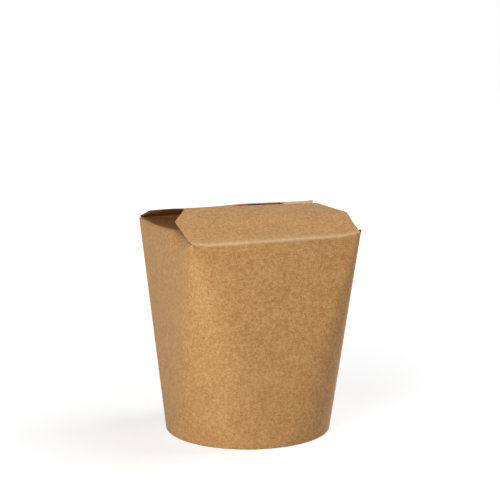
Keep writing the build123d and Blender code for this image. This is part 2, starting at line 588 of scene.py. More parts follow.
@dataclass(eq=False, kw_only=True)
class Flap:
    """A flap that grows out of the top of one side of the wall, and shares its lowest rows with it."""

    wall: WallShape
    side: Side
    root_heights: list[float]
    columns: int = 36
    inner_columns: int = 12
    inner_run: int = 4
    fold_tone_reach: float = 0.6 * MM
    corner_cover: float = 0.0
    cover_start: float = 0.9
    cover_lift: float = 0.05 * MM
    inset: float = field(init=False)
    crease: float = field(init=False)
    outline: Outline = field(init=False)
    rows: list[float] = field(init=False)

    def __post_init__(self) -> None:
        """Works out the crease, the outline and the rows."""
        self.inset = self.wall.sizes.board / 2
        self.crease = self.wall.panel(self.side, self.wall.sizes.rim_height, self.inset)[0]
        self.outline = self.cut()
        root_rows = [(height - self.root_heights[0]) / self.root_run() for height in self.root_heights]
        self.rows = root_rows + self.leaf_rows()

    def root_run(self) -> float:
        """Length of the rows that the flap shares with the wall."""
        return self.root_heights[-1] - self.root_heights[0]

    def start(self) -> tuple[float, float]:
        """Distance from the middle and height of the row that the flap grows from."""
        height = self.root_heights[0]
        return self.wall.panel(self.side, height, self.inset)[0], height

    def cut(self) -> Outline:
        """Outline that the flap is cut to."""
        raise NotImplementedError

    def leaf_rows(self) -> list[float]:
        """Rows past the root."""
        raise NotImplementedError

    def path(self, across: float) -> BentPath:
        """Path of the board at a place across the flap, from -1 to 1."""
        raise NotImplementedError

    def anchors(self, path: BentPath) -> list[float]:
        """Lengths along a path that the rows are set out between."""
        raise NotImplementedError

    def inner_half(self, row: float, distance: float) -> float | None:
        """Half width of the inner columns at a row, where they follow a cut of their own."""
        return None

    def shift(self, point: Vector, across: float, row: float) -> Vector:
        """Small move of a finished point."""
        return point

    def fold_and_painted_light(self, length: float, path: BentPath, across: float, row: float) -> float:
        """Mask of the board at a length along its path: 1 on the fold, 0 away from it."""
        start, end = path.bends[0]
        middle, reach = (start + end) / 2, (end - start) / 2 + self.fold_tone_reach
        return 1.0 - smooth(abs(length - middle) / reach)

    @lru_cache(maxsize=None)
    def _column(self, column: int) -> tuple[BentPath, list[float]]:
        """Path and anchors of a column line."""
        path = self.path(mix(-1, 1, column / self.columns))
        return path, self.anchors(path)

    def place(self, column: int, row: float) -> tuple[Vector, float]:
        """Point of the flap.

        Args:
            column: Column line, from 0 to the number of columns.
            row: Row, in anchors from the root.

        Returns:
            The point and its mask value.
        """
        across = mix(-1, 1, column / self.columns)
        path, anchors = self._column(column)
        index = min(int(row), len(anchors) - 2)
        length = mix(anchors[index], anchors[index + 1], row - index)
        distance, height = path.at(length)
        station = Station(self.side, column / self.columns)
        level = self.root_heights[-1]
        if row <= 1:
            level = min(self.root_heights[0] + length, level)
        root_start, root_end = self.wall.flat_ends(self.side, level, self.inset)
        if row <= 1:
            along = mix(root_start, root_end, station.share)
        else:
            half = self.outline.half(distance)
            if row < 2:
                half = mix(root_end, self.outline.half(path.at(anchors[2]).x), smooth(row - 1))
            along = self._along(across, row, distance, half) + self._cover(across, row)
        drawn_in = self.wall.lap(station, level) + self.wall.bow(station, level)
        past = abs(along) - root_end
        if past > 0.0 and self.corner_cover > 0.0:
            radius = self.wall.panel(self.side, level, self.inset)[2]
            drawn_in += radius - math.sqrt(max(radius * radius - past * past, 0.0)) - self.cover_lift
        out = distance - drawn_in * smooth(3 - row)
        point = self.side.outward() * out + self.side.across() * along + UP * height
        return self.shift(point, across, row), self.fold_and_painted_light(length, path, across, row)

    def _along(self, across: float, row: float, distance: float, half: float) -> float:
        """Place along the side of a column, with the inner columns kept to a cut of their own.

        Args:
            across: Place across the flap, from -1 to 1.
            row: Row, in anchors from the root.
            distance: Distance from the middle of the box.
            half: Half width of the flap there.

        Returns:
            The place, measured from the middle of the side.
        """
        share = self.inner_columns / self.columns
        inner = self.inner_half(row, distance)
        if inner is None:
            inner = half * share
        if abs(across) <= share + 1e-6:
            return across / share * inner
        return math.copysign(mix(inner, half, (abs(across) - share) / (1 - share)), across)

    def _cover(self, across: float, row: float) -> float:
        """How far the ends of the fold reach out over the corners of the wall.

        Args:
            across: Place across the flap, from -1 to 1.
            row: Row, in anchors from the root.

        Returns:
            Move along the side.
        """
        cover = self.corner_cover * smooth(4 * (row - 1)) * smooth(3 * (2 - row))
        outer = smooth((abs(across) - self.cover_start) / (1.0 - self.cover_start))
        return math.copysign(cover * outer, across)

    def build(self, sheet: SheetMesh, drop: Callable[[int, int], bool] | None = None) -> None:
        """Adds the flap to a sheet.

        Args:
            sheet: The sheet.
            drop: Says which faces are cut away.
        """
        rows = self.rows
        sheet.add_grid(self.columns, len(rows) - 1, lambda column, row: self.place(column, rows[row]), drop)


@dataclass(eq=False, kw_only=True)
class SideFlap(Flap):
    """A side flap: a fold that widens to a soft roll, and a leaf that slopes down under the back flap."""

    reach: float = 35.0 * MM
    fall: float = 2.8 * MM
    root_half: float = 40.0 * MM
    end_half: float = 31.0 * MM
    end_round: float = 8.0 * MM
    tight_fold: float = 1.1 * MM
    soft_fold: float = 8.5 * MM
    soften_share: float = 0.30
    soft_share: float = 0.80
    close_share: float = 0.16
    relief: float = 1.0 * MM
    ear_out: float = 1.4 * MM
    ear_up: float = 1.2 * MM

    def cut(self) -> Outline:
        """Outline that the flap is cut to."""
        root = (self.crease - self.tight_fold, self.root_half)
        end = (self.crease - self.reach, self.end_half)
        return Outline((root, end), self.end_round)

    def leaf_rows(self) -> list[float]:
        """Rows past the root."""
        return row_places(1, (14, 7), 8)

    def path(self, across: float) -> BentPath:
        """Path of the board at a place across the flap, from -1 to 1."""
        top = (self.crease, self.wall.sizes.hinge_z)
        end = (self.crease - self.reach, self.wall.sizes.hinge_z - self.fall)
        return BentPath([self.start(), top, end], [self.fold_radius(across)])

    def fold_radius(self, across: float) -> float:
        """Radius of the fold: tight at the back, wider to the front, tight again at the front corner."""
        forward = (1.0 + across) / 2 if self.side is Side.LEFT else (1.0 - across) / 2
        grown = (forward - self.soften_share) / (self.soft_share - self.soften_share)
        closing = smooth((1.0 - forward) / self.close_share)
        return mix(self.tight_fold, self.soft_fold, min(max(grown, 0.0), 1.0) * closing)

    def anchors(self, path: BentPath) -> list[float]:
        """Lengths along a path that the rows are set out between."""
        fold_end = path.bends[0][1] + self.tight_fold
        return [0.0, self.root_run(), fold_end, path.length - self.end_round, path.length]

    def fold_and_painted_light(self, length: float, path: BentPath, across: float, row: float) -> float:
        """The soft fold of a side flap gets a mask of 0."""
        return 0.0

    def shift(self, point: Vector, across: float, row: float) -> Vector:
        """Draws in the ends of the fold as relief cuts, and turns one out as a little ear at the front."""
        if abs(across) < 1.0 or not 1.0 < row < 2.0:
            return point
        share = math.sin(math.pi * (row - 1.0))
        if self.side is Side.RIGHT and across < 0.0:
            return point + (self.side.outward() * self.ear_out + UP * self.ear_up) * share
        return point - self.side.across() * (across * self.relief * share)


@dataclass(eq=False, kw_only=True)
class BackFlap(Flap):
    """The back flap: it climbs to the ridge, tucks under the front flap, and is slotted for its tongue."""

    roof: Roof
    side: Side = Side.BACK
    fold_reach: float = 0.9 * MM
    fold_half: float = 45.2 * MM
    shoulder_reach: float = 2.4 * MM
    shoulder_half: float = 46.4 * MM
    tip_reach: float = 20.5 * MM
    tip_rise: float = 6.1 * MM
    tip_half: float = 46.7 * MM
    taper: float = 0.487
    brow_reach: float = 36.4 * MM
    brow_rise: float = 8.8 * MM
    ridge_y: float = -7.37 * MM
    ridge_rise: float = 10.03 * MM
    tuck_y: float = -14.87 * MM
    tuck_rise: float = 8.24 * MM
    tuck_round: float = 7.0 * MM
    tuck_overlap: float = 0.3 * MM
    bend_radii: tuple[float, ...] = (0.8 * MM, 25.0 * MM, 40.0 * MM, 4.0 * MM)
    slot_back_y: float = -4.30 * MM
    slot_front_y: float = -6.17 * MM
    slot_half: float = 17.9 * MM
    lip_rise: float = 1.9 * MM
    lip_front_y: float = -6.3 * MM
    lip_top_y: float = -4.3 * MM
    lip_back_y: float = 13.0 * MM
    lip_left_x: float = -30.0 * MM
    lip_full_x: float = 1.0 * MM
    curl_rise: float = 0.5 * MM
    curl_out: float = 1.5 * MM
    curl_reach: float = 2.6 * MM
    curl_front_y: float = -7.1 * MM
    curl_top_y: float = -4.6 * MM
    curl_back_y: float = 5.0 * MM
    painted_ridge_sheen_reach: float = 8.0 * MM
    row_counts: tuple[int, ...] = (6, 3, 8, 7, 7, 4, 1, 5, 1, 7)
    slot_anchor: int = 6

    def cut(self) -> Outline:
        """Outline that the flap is cut to."""
        tip = self.crease - self.tip_reach
        points = (
            (self.crease - self.fold_reach, self.fold_half),
            (self.crease - self.shoulder_reach, self.shoulder_half),
            (tip, self.tip_half),
            (self.tuck_y, self.tip_half - self.taper * (tip - self.tuck_y)),
        )
        return Outline(points, self.tuck_round)

    def leaf_rows(self) -> list[float]:
        """Rows past the root."""
        return row_places(1, self.row_counts)

    def path(self, across: float) -> BentPath:
        """Path of the board at a place across the flap, from -1 to 1."""
        base = self.wall.sizes.hinge_z
        corners = [
            self.start(),
            (self.crease, base),
            (self.crease - self.tip_reach, base + self.tip_rise),
            (self.crease - self.brow_reach, base + self.brow_rise),
            (self.ridge_y, base + self.ridge_rise),
            (self.tuck_y, base + self.tuck_rise),
        ]
        return BentPath(corners, self.bend_radii)

    def anchors(self, path: BentPath) -> list[float]:
        """Lengths along a path that the rows are set out between."""
        return [
            0.0,
            self.root_run(),
            path.bends[0][1],
            path.where(self.crease - self.shoulder_reach),
            path.where(self.crease - self.tip_reach),
            path.where(self.crease - self.brow_reach),
            path.where(self.slot_back_y),
            path.where(self.slot_front_y),
            *path.bends[3],
            path.length - self.tuck_round + self.tuck_overlap,
            path.length,
        ]

    def inner_half(self, row: float, distance: float) -> float | None:
        """Half width of the inner columns, which end at the round ends of the slot."""
        if row <= 1:
            return None
        radius = (self.slot_back_y - self.slot_front_y) / 2
        middle = (self.slot_back_y + self.slot_front_y) / 2
        off = min(abs(distance - middle) / radius, 1.0)
        cut = self.slot_half - radius + radius * math.sqrt(1.0 - off * off)
        share = self.inner_columns / self.columns
        return mix(self.outline.half(distance) * share, cut, smooth((row - 1) / self.inner_run))

    def shift(self, point: Vector, across: float, row: float) -> Vector:
        """Leans the flap, lifts the lip behind its slot, and curls up the right end of its ridge."""
        if row <= 2:
            return point
        level = smooth((point.y - self.lip_front_y) / (self.lip_top_y - self.lip_front_y))
        level *= 1.0 - smooth((point.y - self.lip_top_y) / (self.lip_back_y - self.lip_top_y))
        level *= smooth((point.x - self.lip_left_x) / (self.lip_full_x - self.lip_left_x))
        curl = smooth(1.0 - (self.outline.half(point.y) - point.x) / self.curl_reach)
        curl *= smooth((point.y - self.curl_front_y) / (self.curl_top_y - self.curl_front_y))
        curl *= smooth((self.curl_back_y - point.y) / (self.curl_back_y - self.curl_top_y))
        turned = Vector((self.curl_out * curl * curl, 0.0, self.curl_rise * curl))
        return self.roof.settle(point) + UP * (self.lip_rise * level) + turned

    def fold_and_painted_light(self, length: float, path: BentPath, across: float, row: float) -> float:
        """Mask of the fold, of a painted sheen on the ridge beside the slot, and of painted shade on the
        free left edge.
        """
        # Painted shade: the free left edge takes the full mask, which paints its cut edge dark.
        if across == 1.0 and row > 2:
            return 1.0
        # Painted sheen: a pale band on the ridge to each side of the slot.
        painted_ridge_sheen = 1.0 - smooth(abs(path.at(length).x - self.slot_back_y) / self.painted_ridge_sheen_reach)
        painted_ridge_sheen *= smooth((abs(across) * self.columns - self.inner_columns) / 3)
        return max(super().fold_and_painted_light(length, path, across, row), painted_ridge_sheen)

    def is_slot(self, column: int, row: int) -> bool:
        """Whether a face lies in the slot."""
        first_column = (self.columns - self.inner_columns) // 2
        first_row = self.rows.index(float(self.slot_anchor))
        in_columns = first_column <= column < first_column + self.inner_columns
        return in_columns and first_row <= row < first_row + self.row_counts[self.slot_anchor - 1]


@dataclass(eq=False, kw_only=True)
class FrontFlap(Flap):
    """The closing flap: a soft curved crease, a six-sided leaf, and a tongue that goes into the slot."""

    roof: Roof
    side: Side = Side.FRONT
    tip_reach: float = 21.5 * MM
    tip_rise: float = 7.4 * MM
    tip_round: float = 0.5 * MM
    tip_lead: float = 0.024
    tip_trims: tuple[float, float, float] = (0.02 * MM, 0.10 * MM, 0.38 * MM)
    edge_reach: float = 36.2 * MM
    edge_half: float = 36.6 * MM
    edge_round: float = 0.7 * MM
    root_half: float = 45.7 * MM
    corner_cover: float = 1.1 * MM
    tongue_root: tuple[float, float] = (37.3 * MM, 11.16 * MM)
    tongue_end: tuple[float, float] = (38.87 * MM, 2.30 * MM)
    tongue_half: float = 16.5 * MM
    tongue_round: float = 4.0 * MM
    crease_dip: float = 1.1 * MM
    dip_share: float = 0.8
    fold_radius: float = 1.0 * MM
    fold_lead: float = 0.1 * MM
    knee_radius: float = 14.0 * MM
    tongue_bend: float = 1.0 * MM
    row_counts: tuple[int, ...] = (8, 9, 1, 1, 7, 4)
    tongue_counts: tuple[int, ...] = (1, 6, 3)
    tongue_round_rows: int = 6
    inner_run: int = 6

    def cut(self) -> Outline:
        """Outline that the flap is cut to, with the tips at its sides a little rounded."""
        tip, edge = self.crease - self.tip_reach, self.crease - self.edge_reach
        tip_half = self.wall.sizes.tip_spread / 2
        points = (
            (self.crease - self.fold_radius, self.root_half),
            (tip + self.tip_round, mix(tip_half, self.root_half, self.tip_lead) - self.tip_trims[0]),
            (tip, tip_half - self.tip_trims[1]),
            (tip - self.tip_round, tip_half - self.tip_trims[2]),
            (edge, self.edge_half),
        )
        return Outline(points, self.edge_round)

    def leaf_rows(self) -> list[float]:
        """Rows past the root."""
        return row_places(1, self.row_counts)

    def edge_row(self) -> int:
        """Row of the leaf's front edge, which its tongue starts from."""
        return 1 + len(self.row_counts)

    def dip(self, across: float) -> float:
        """How far the crease runs below the straight line between its ends."""
        return self.crease_dip * (1.0 - smooth((abs(across) - self.dip_share) / (1.0 - self.dip_share)))

    def path(self, across: float) -> BentPath:
        """Path of the board at a place across the flap, from -1 to 1."""
        base = self.wall.sizes.hinge_z
        corners = [
            self.start(),
            (self.crease, base - self.dip(across)),
            (self.crease - self.tip_reach, base + self.tip_rise),
            (self.crease - self.tongue_root[0], base + self.tongue_root[1]),
            (self.crease - self.tongue_end[0], base + self.tongue_end[1]),
        ]
        return BentPath(corners, [self.fold_radius, self.knee_radius, self.tongue_bend])

    def anchors(self, path: BentPath) -> list[float]:
        """Lengths along a path that the rows are set out between."""
        tip, edge = self.crease - self.tip_reach, self.crease - self.edge_reach
        return [
            0.0,
            path.bends[0][0] - self.fold_lead,
            path.bends[0][1],
            path.where(tip + self.tip_round),
            path.where(tip),
            path.where(tip - self.tip_round),
            path.where(edge + self.edge_round),
            path.where(edge),
            *path.bends[2],
            path.length - self.tongue_round,
            path.length,
        ]

    def inner_half(self, row: float, distance: float) -> float | None:
        """Half width of the inner columns, which run out into the tongue."""
        if row <= 1:
            return None
        even = self.outline.half(distance) * self.inner_columns / self.columns
        past = min(max(row - self.edge_row() - len(self.tongue_counts), 0.0), 1.0)
        tongue = self.tongue_half - self.tongue_round * (1.0 - math.sqrt(1.0 - past * past))
        return mix(even, tongue, smooth((row - 1) / self.inner_run))

    def shift(self, point: Vector, across: float, row: float) -> Vector:
        """Leans the leaf past its fold."""
        return self.roof.settle(point) if row > 1 else point

    def build(self, sheet: SheetMesh, drop: Callable[[int, int], bool] | None = None) -> None:
        """Adds the leaf and its tongue to a sheet.

        Args:
            sheet: The sheet.
            drop: Says which faces are cut away.
        """
        super().build(sheet, drop)
        first = (self.columns - self.inner_columns) // 2
        start = self.edge_row()
        rows = [float(start)] + row_places(start, self.tongue_counts, self.tongue_round_rows)
        sheet.add_grid(
            self.inner_columns,
            len(rows) - 1,
            lambda column, row: self.place(first + column, rows[row]),
        )


class NodeGraph:
    """Short calls that add and join shader nodes."""

    def __init__(self, tree: bpy.types.NodeTree) -> None:
        """Works on a node tree."""
        self.tree = tree

    @classmethod
    def fresh(cls, owner: Finish | bpy.types.World) -> "NodeGraph":
        """Starts an empty graph on a material or a world."""
        owner.use_nodes = True
        owner.node_tree.nodes.clear()
        return cls(owner.node_tree)

    def add(self, kind: str, values: dict[str, object] | None = None) -> bpy.types.Node:
        """Adds a node.

        Args:
            kind: Blender's name for the node type.
            values: Input values by socket name.

        Returns:
            The node.
        """
        node = self.tree.nodes.new(kind)
        for name, value in (values or {}).items():
            node.inputs[name].default_value = value
        return node

    def link(self, start: Socket, end: Socket) -> None:
        """Joins an output to an input."""
        self.tree.links.new(start, end)

    def attribute(self, name: str) -> bpy.types.Node:
        """Adds a node that reads a named value of the mesh."""
        node = self.add("ShaderNodeAttribute")
        node.attribute_name = name
        return node

    def noise(self, place: Socket, scale: float, detail: float, roughness: float) -> Socket:
        """Adds a noise texture and returns its value."""
        node = self.add("ShaderNodeTexNoise", {"Scale": scale, "Detail": detail, "Roughness": roughness})
        self.link(place, node.inputs["Vector"])
        return node.outputs["Fac"]

    def math(self, operation: str, first: Socket, second: Socket | float) -> Socket:
        """Adds a math node on a socket and a socket or number, and returns its result."""
        node = self.add("ShaderNodeMath")
        node.operation = operation
        self.link(first, node.inputs[0])
        if isinstance(second, float):
            node.inputs[1].default_value = second
        else:
            self.link(second, node.inputs[1])
        return node.outputs[0]

    def scaled(self, value: Socket, strength: float) -> Socket:
        """Adds a product of a socket and a number."""
        return self.math("MULTIPLY", value, strength)

    def map_range(
        self, value: Socket, low: float, high: float, to_low: float = 0.0, to_high: float = 1.0
    ) -> Socket:
        """Adds a clamped map from one range to another and returns its result."""
        node = self.add(
            "ShaderNodeMapRange", {"From Min": low, "From Max": high, "To Min": to_low, "To Max": to_high}
        )
        self.link(value, node.inputs["Value"])
        return node.outputs["Result"]

    def length(self, vector: Socket) -> Socket:
        """Adds a node that gives the length of a vector."""
        node = self.add("ShaderNodeVectorMath")
        node.operation = "LENGTH"
        self.link(vector, node.inputs[0])
        return node.outputs["Value"]

    def separate(self, colour: Socket) -> Socket:
        """Adds a node that gives the red share of a colour."""
        node = self.add("ShaderNodeSeparateColor")
        self.link(colour, node.inputs["Color"])
        return node.outputs["Red"]

    def blend(self, share: Socket, first: Socket | Colour, second: Socket | Colour) -> Socket:
        """Adds a colour mix and returns its result."""
        node = self.add("ShaderNodeMix")
        node.data_type = "RGBA"
        self.link(share, node.inputs["Factor"])
        for socket, colour in ((node.inputs[6], first), (node.inputs[7], second)):
            if isinstance(colour, tuple):
                socket.default_value = (*colour, 1.0)
            else:
                self.link(colour, socket)
        return node.outputs[2]


@dataclass(frozen=True)
class Grain:
    """The shared node group that draws the paper's clouds, grain, fibres and specks."""

    name: str = "paper_grain"
    outputs: tuple[str, ...] = ("Cloud", "Mottle", "Fibre", "Speck", "Relief")
    cloud_scale: float = 95.0
    mottle_scale: float = 620.0
    grain_scale: float = 1900.0
    mottle_share: float = 0.5
    grain_share: float = 0.5
    fibre_scale: float = 1500.0
    fibre_stretch: tuple[float, float, float] = (0.12, 1.0, 1.0)
    fibre_tilts: tuple[float, float, float] = (0.35, 1.25, 2.3)
    fibre_range: tuple[float, float] = (0.62, 0.74)
    fibre_relief: float = 0.35
    speck_scale: float = 330.0
    speck_range: tuple[float, float] = (0.17, 0.06)
    chosen_range: tuple[float, float] = (0.62, 0.75)

    def build(self) -> bpy.types.ShaderNodeTree:
        """Makes the group.

        Returns:
            The node group, with a Vector input and an output for each name in outputs.
        """
        group = bpy.data.node_groups.new(self.name, "ShaderNodeTree")
        group.interface.new_socket("Vector", in_out="INPUT", socket_type="NodeSocketVector")
        for output in self.outputs:
            group.interface.new_socket(output, in_out="OUTPUT", socket_type="NodeSocketFloat")
        graph = NodeGraph(group)
        given = graph.add("NodeGroupInput").outputs["Vector"]
        result = graph.add("NodeGroupOutput")

        cloud = graph.noise(given, self.cloud_scale, 3.0, 0.55)
        mottle = graph.noise(given, self.mottle_scale, 3.0, 0.7)
        grain = graph.noise(given, self.grain_scale, 2.0, 0.6)
        fibres = [self._fibres(graph, given, tilt) for tilt in self.fibre_tilts]
        fibre = graph.math("MAXIMUM", graph.math("MAXIMUM", fibres[0], fibres[1]), fibres[2])
        grit = graph.math(
            "ADD", graph.scaled(mottle, self.mottle_share), graph.scaled(grain, self.grain_share)
        )
        relief = graph.math("ADD", grit, graph.scaled(fibre, self.fibre_relief))
        values = (cloud, grit, fibre, self._specks(graph, given), relief)
        for output, value in zip(self.outputs, values):
            graph.link(value, result.inputs[output])
        return group

    def _fibres(self, graph: NodeGraph, given: Socket, tilt: float) -> Socket:
        """Mask of short pale fibres that lie at a tilt, in radians."""
        lie = {"Rotation": (tilt, tilt * 0.7, tilt * 1.3), "Scale": self.fibre_stretch}
        turned = graph.add("ShaderNodeMapping", lie)
        graph.link(given, turned.inputs["Vector"])
        streak = graph.noise(turned.outputs["Vector"], self.fibre_scale, 1.0, 0.5)
        return graph.map_range(streak, *self.fibre_range)

    def _specks(self, graph: NodeGraph, given: Socket) -> Socket:
        """Mask of scattered dark specks."""
        cells = graph.add("ShaderNodeTexVoronoi", {"Scale": self.speck_scale, "Randomness": 1.0})
        graph.link(given, cells.inputs["Vector"])
        near = graph.map_range(cells.outputs["Distance"], *self.speck_range)
        chosen = graph.map_range(graph.separate(cells.outputs["Color"]), *self.chosen_range)
        return graph.math("MULTIPLY", near, chosen)


@dataclass(frozen=True)
class BoardFinish:
    """A face of kraft board: its colours, and how strongly the grain shows."""

    name: str
    dark: Colour
    light: Colour
    speck: Colour
    fibre: Colour
    # The mask colour: paler along folds, painted sheen on the outside, painted shade on the inside and cut
    # edges.
    fold_and_painted_light_colour: Colour
    contrast: float = 0.2
    speck_strength: float = 0.55
    fibre_strength: float = 0.35
    fold_and_painted_light_strength: float = 0.45
    mottle_share: float = 0.85
    cloud_share: float = 0.15
    roughness: float = 0.58
    roughness_spread: float = 0.05
    gloss: float = 0.28
    bump: float = 0.05 * MM
    bump_strength: float = 0.6
    # Painted sheen: a pale colour mixed in where the face is seen at a grazing angle.
    painted_grazing_sheen: Colour = linear(226, 208, 186)
    painted_grazing_sheen_range: tuple[float, float] = (0.87, 0.97)
    painted_grazing_sheen_strength: float = 0.6

    def build(self, grain: bpy.types.ShaderNodeTree) -> Finish:
        """Makes the material.

        Args:
            grain: The shared grain group.

        Returns:
            The material.
        """
        material = bpy.data.materials.new(self.name)
        graph = NodeGraph.fresh(material)
        fold_and_painted_light = graph.attribute("fold_and_painted_light_mask")
        pattern = graph.add("ShaderNodeGroup")
        pattern.node_tree = grain
        graph.link(graph.attribute("board_place").outputs["Vector"], pattern.inputs["Vector"])

        tone = graph.math(
            "ADD",
            graph.scaled(pattern.outputs["Mottle"], self.mottle_share),
            graph.scaled(pattern.outputs["Cloud"], self.cloud_share),
        )
        tone = graph.map_range(tone, 0.5 - self.contrast / 2, 0.5 + self.contrast / 2)
        colour = graph.blend(tone, self.dark, self.light)
        # Fibres, specks, then the mask colour, which paints sheen and shade as well as the paler folds.
        for mask, strength, paint in (
            (pattern.outputs["Fibre"], self.fibre_strength, self.fibre),
            (pattern.outputs["Speck"], self.speck_strength, self.speck),
            (fold_and_painted_light.outputs["Fac"], self.fold_and_painted_light_strength, self.fold_and_painted_light_colour),
        ):
            colour = graph.blend(graph.scaled(mask, strength), colour, paint)
        # Painted sheen: the colour turns pale toward grazing angles.
        edge_on = graph.add("ShaderNodeLayerWeight", {"Blend": 0.5}).outputs["Facing"]
        painted_grazing_sheen_share = graph.map_range(edge_on, *self.painted_grazing_sheen_range, 0.0, self.painted_grazing_sheen_strength)
        colour = graph.blend(painted_grazing_sheen_share, colour, self.painted_grazing_sheen)
        smoothest, roughest = self.roughness - self.roughness_spread, self.roughness + self.roughness_spread
        roughness = graph.map_range(pattern.outputs["Cloud"], 0.3, 0.7, smoothest, roughest)
        bump = graph.add("ShaderNodeBump", {"Strength": self.bump_strength, "Distance": self.bump})
        graph.link(pattern.outputs["Relief"], bump.inputs["Height"])

        shader = graph.add("ShaderNodeBsdfPrincipled", {"Specular IOR Level": self.gloss})
        graph.link(colour, shader.inputs["Base Color"])
        graph.link(roughness, shader.inputs["Roughness"])
        graph.link(bump.outputs["Normal"], shader.inputs["Normal"])
        output = graph.add("ShaderNodeOutputMaterial")
        graph.link(shader.outputs["BSDF"], output.inputs["Surface"])
        return material


OUTSIDE_FINISH = BoardFinish(
    name="kraft_outside",
    dark=linear(174, 122, 66),
    light=linear(212, 165, 108),
    speck=linear(112, 68, 26),
    fibre=linear(221, 176, 118),
    # Paler along folds, and the painted sheen beside the back flap's slot.
    fold_and_painted_light_colour=linear(244, 212, 170),
)
# Painted shade: the inside is the same board, drawn darker than the outside, and darker still where the mask
# is set.
INSIDE_PAINTED_SHADE_FINISH = BoardFinish(
    name="kraft_inside_painted_shade",
    dark=linear(146, 97, 48),
    light=linear(180, 130, 77),
    speck=linear(90, 54, 22),
    fibre=linear(190, 141, 88),
    fold_and_painted_light_colour=linear(96, 58, 30),
    painted_grazing_sheen_strength=0.0,
)
EDGE_FINISH = BoardFinish(
    name="kraft_cut_edge",
    dark=linear(208, 164, 116),
    light=linear(234, 196, 148),
    speck=linear(150, 110, 78),
    fibre=linear(238, 208, 176),
    # Painted shade: cut edges turn dark where the mask is set, chiefly the back flap's free left edge.
    fold_and_painted_light_colour=linear(70, 38, 22),
    fold_and_painted_light_strength=0.95,
)


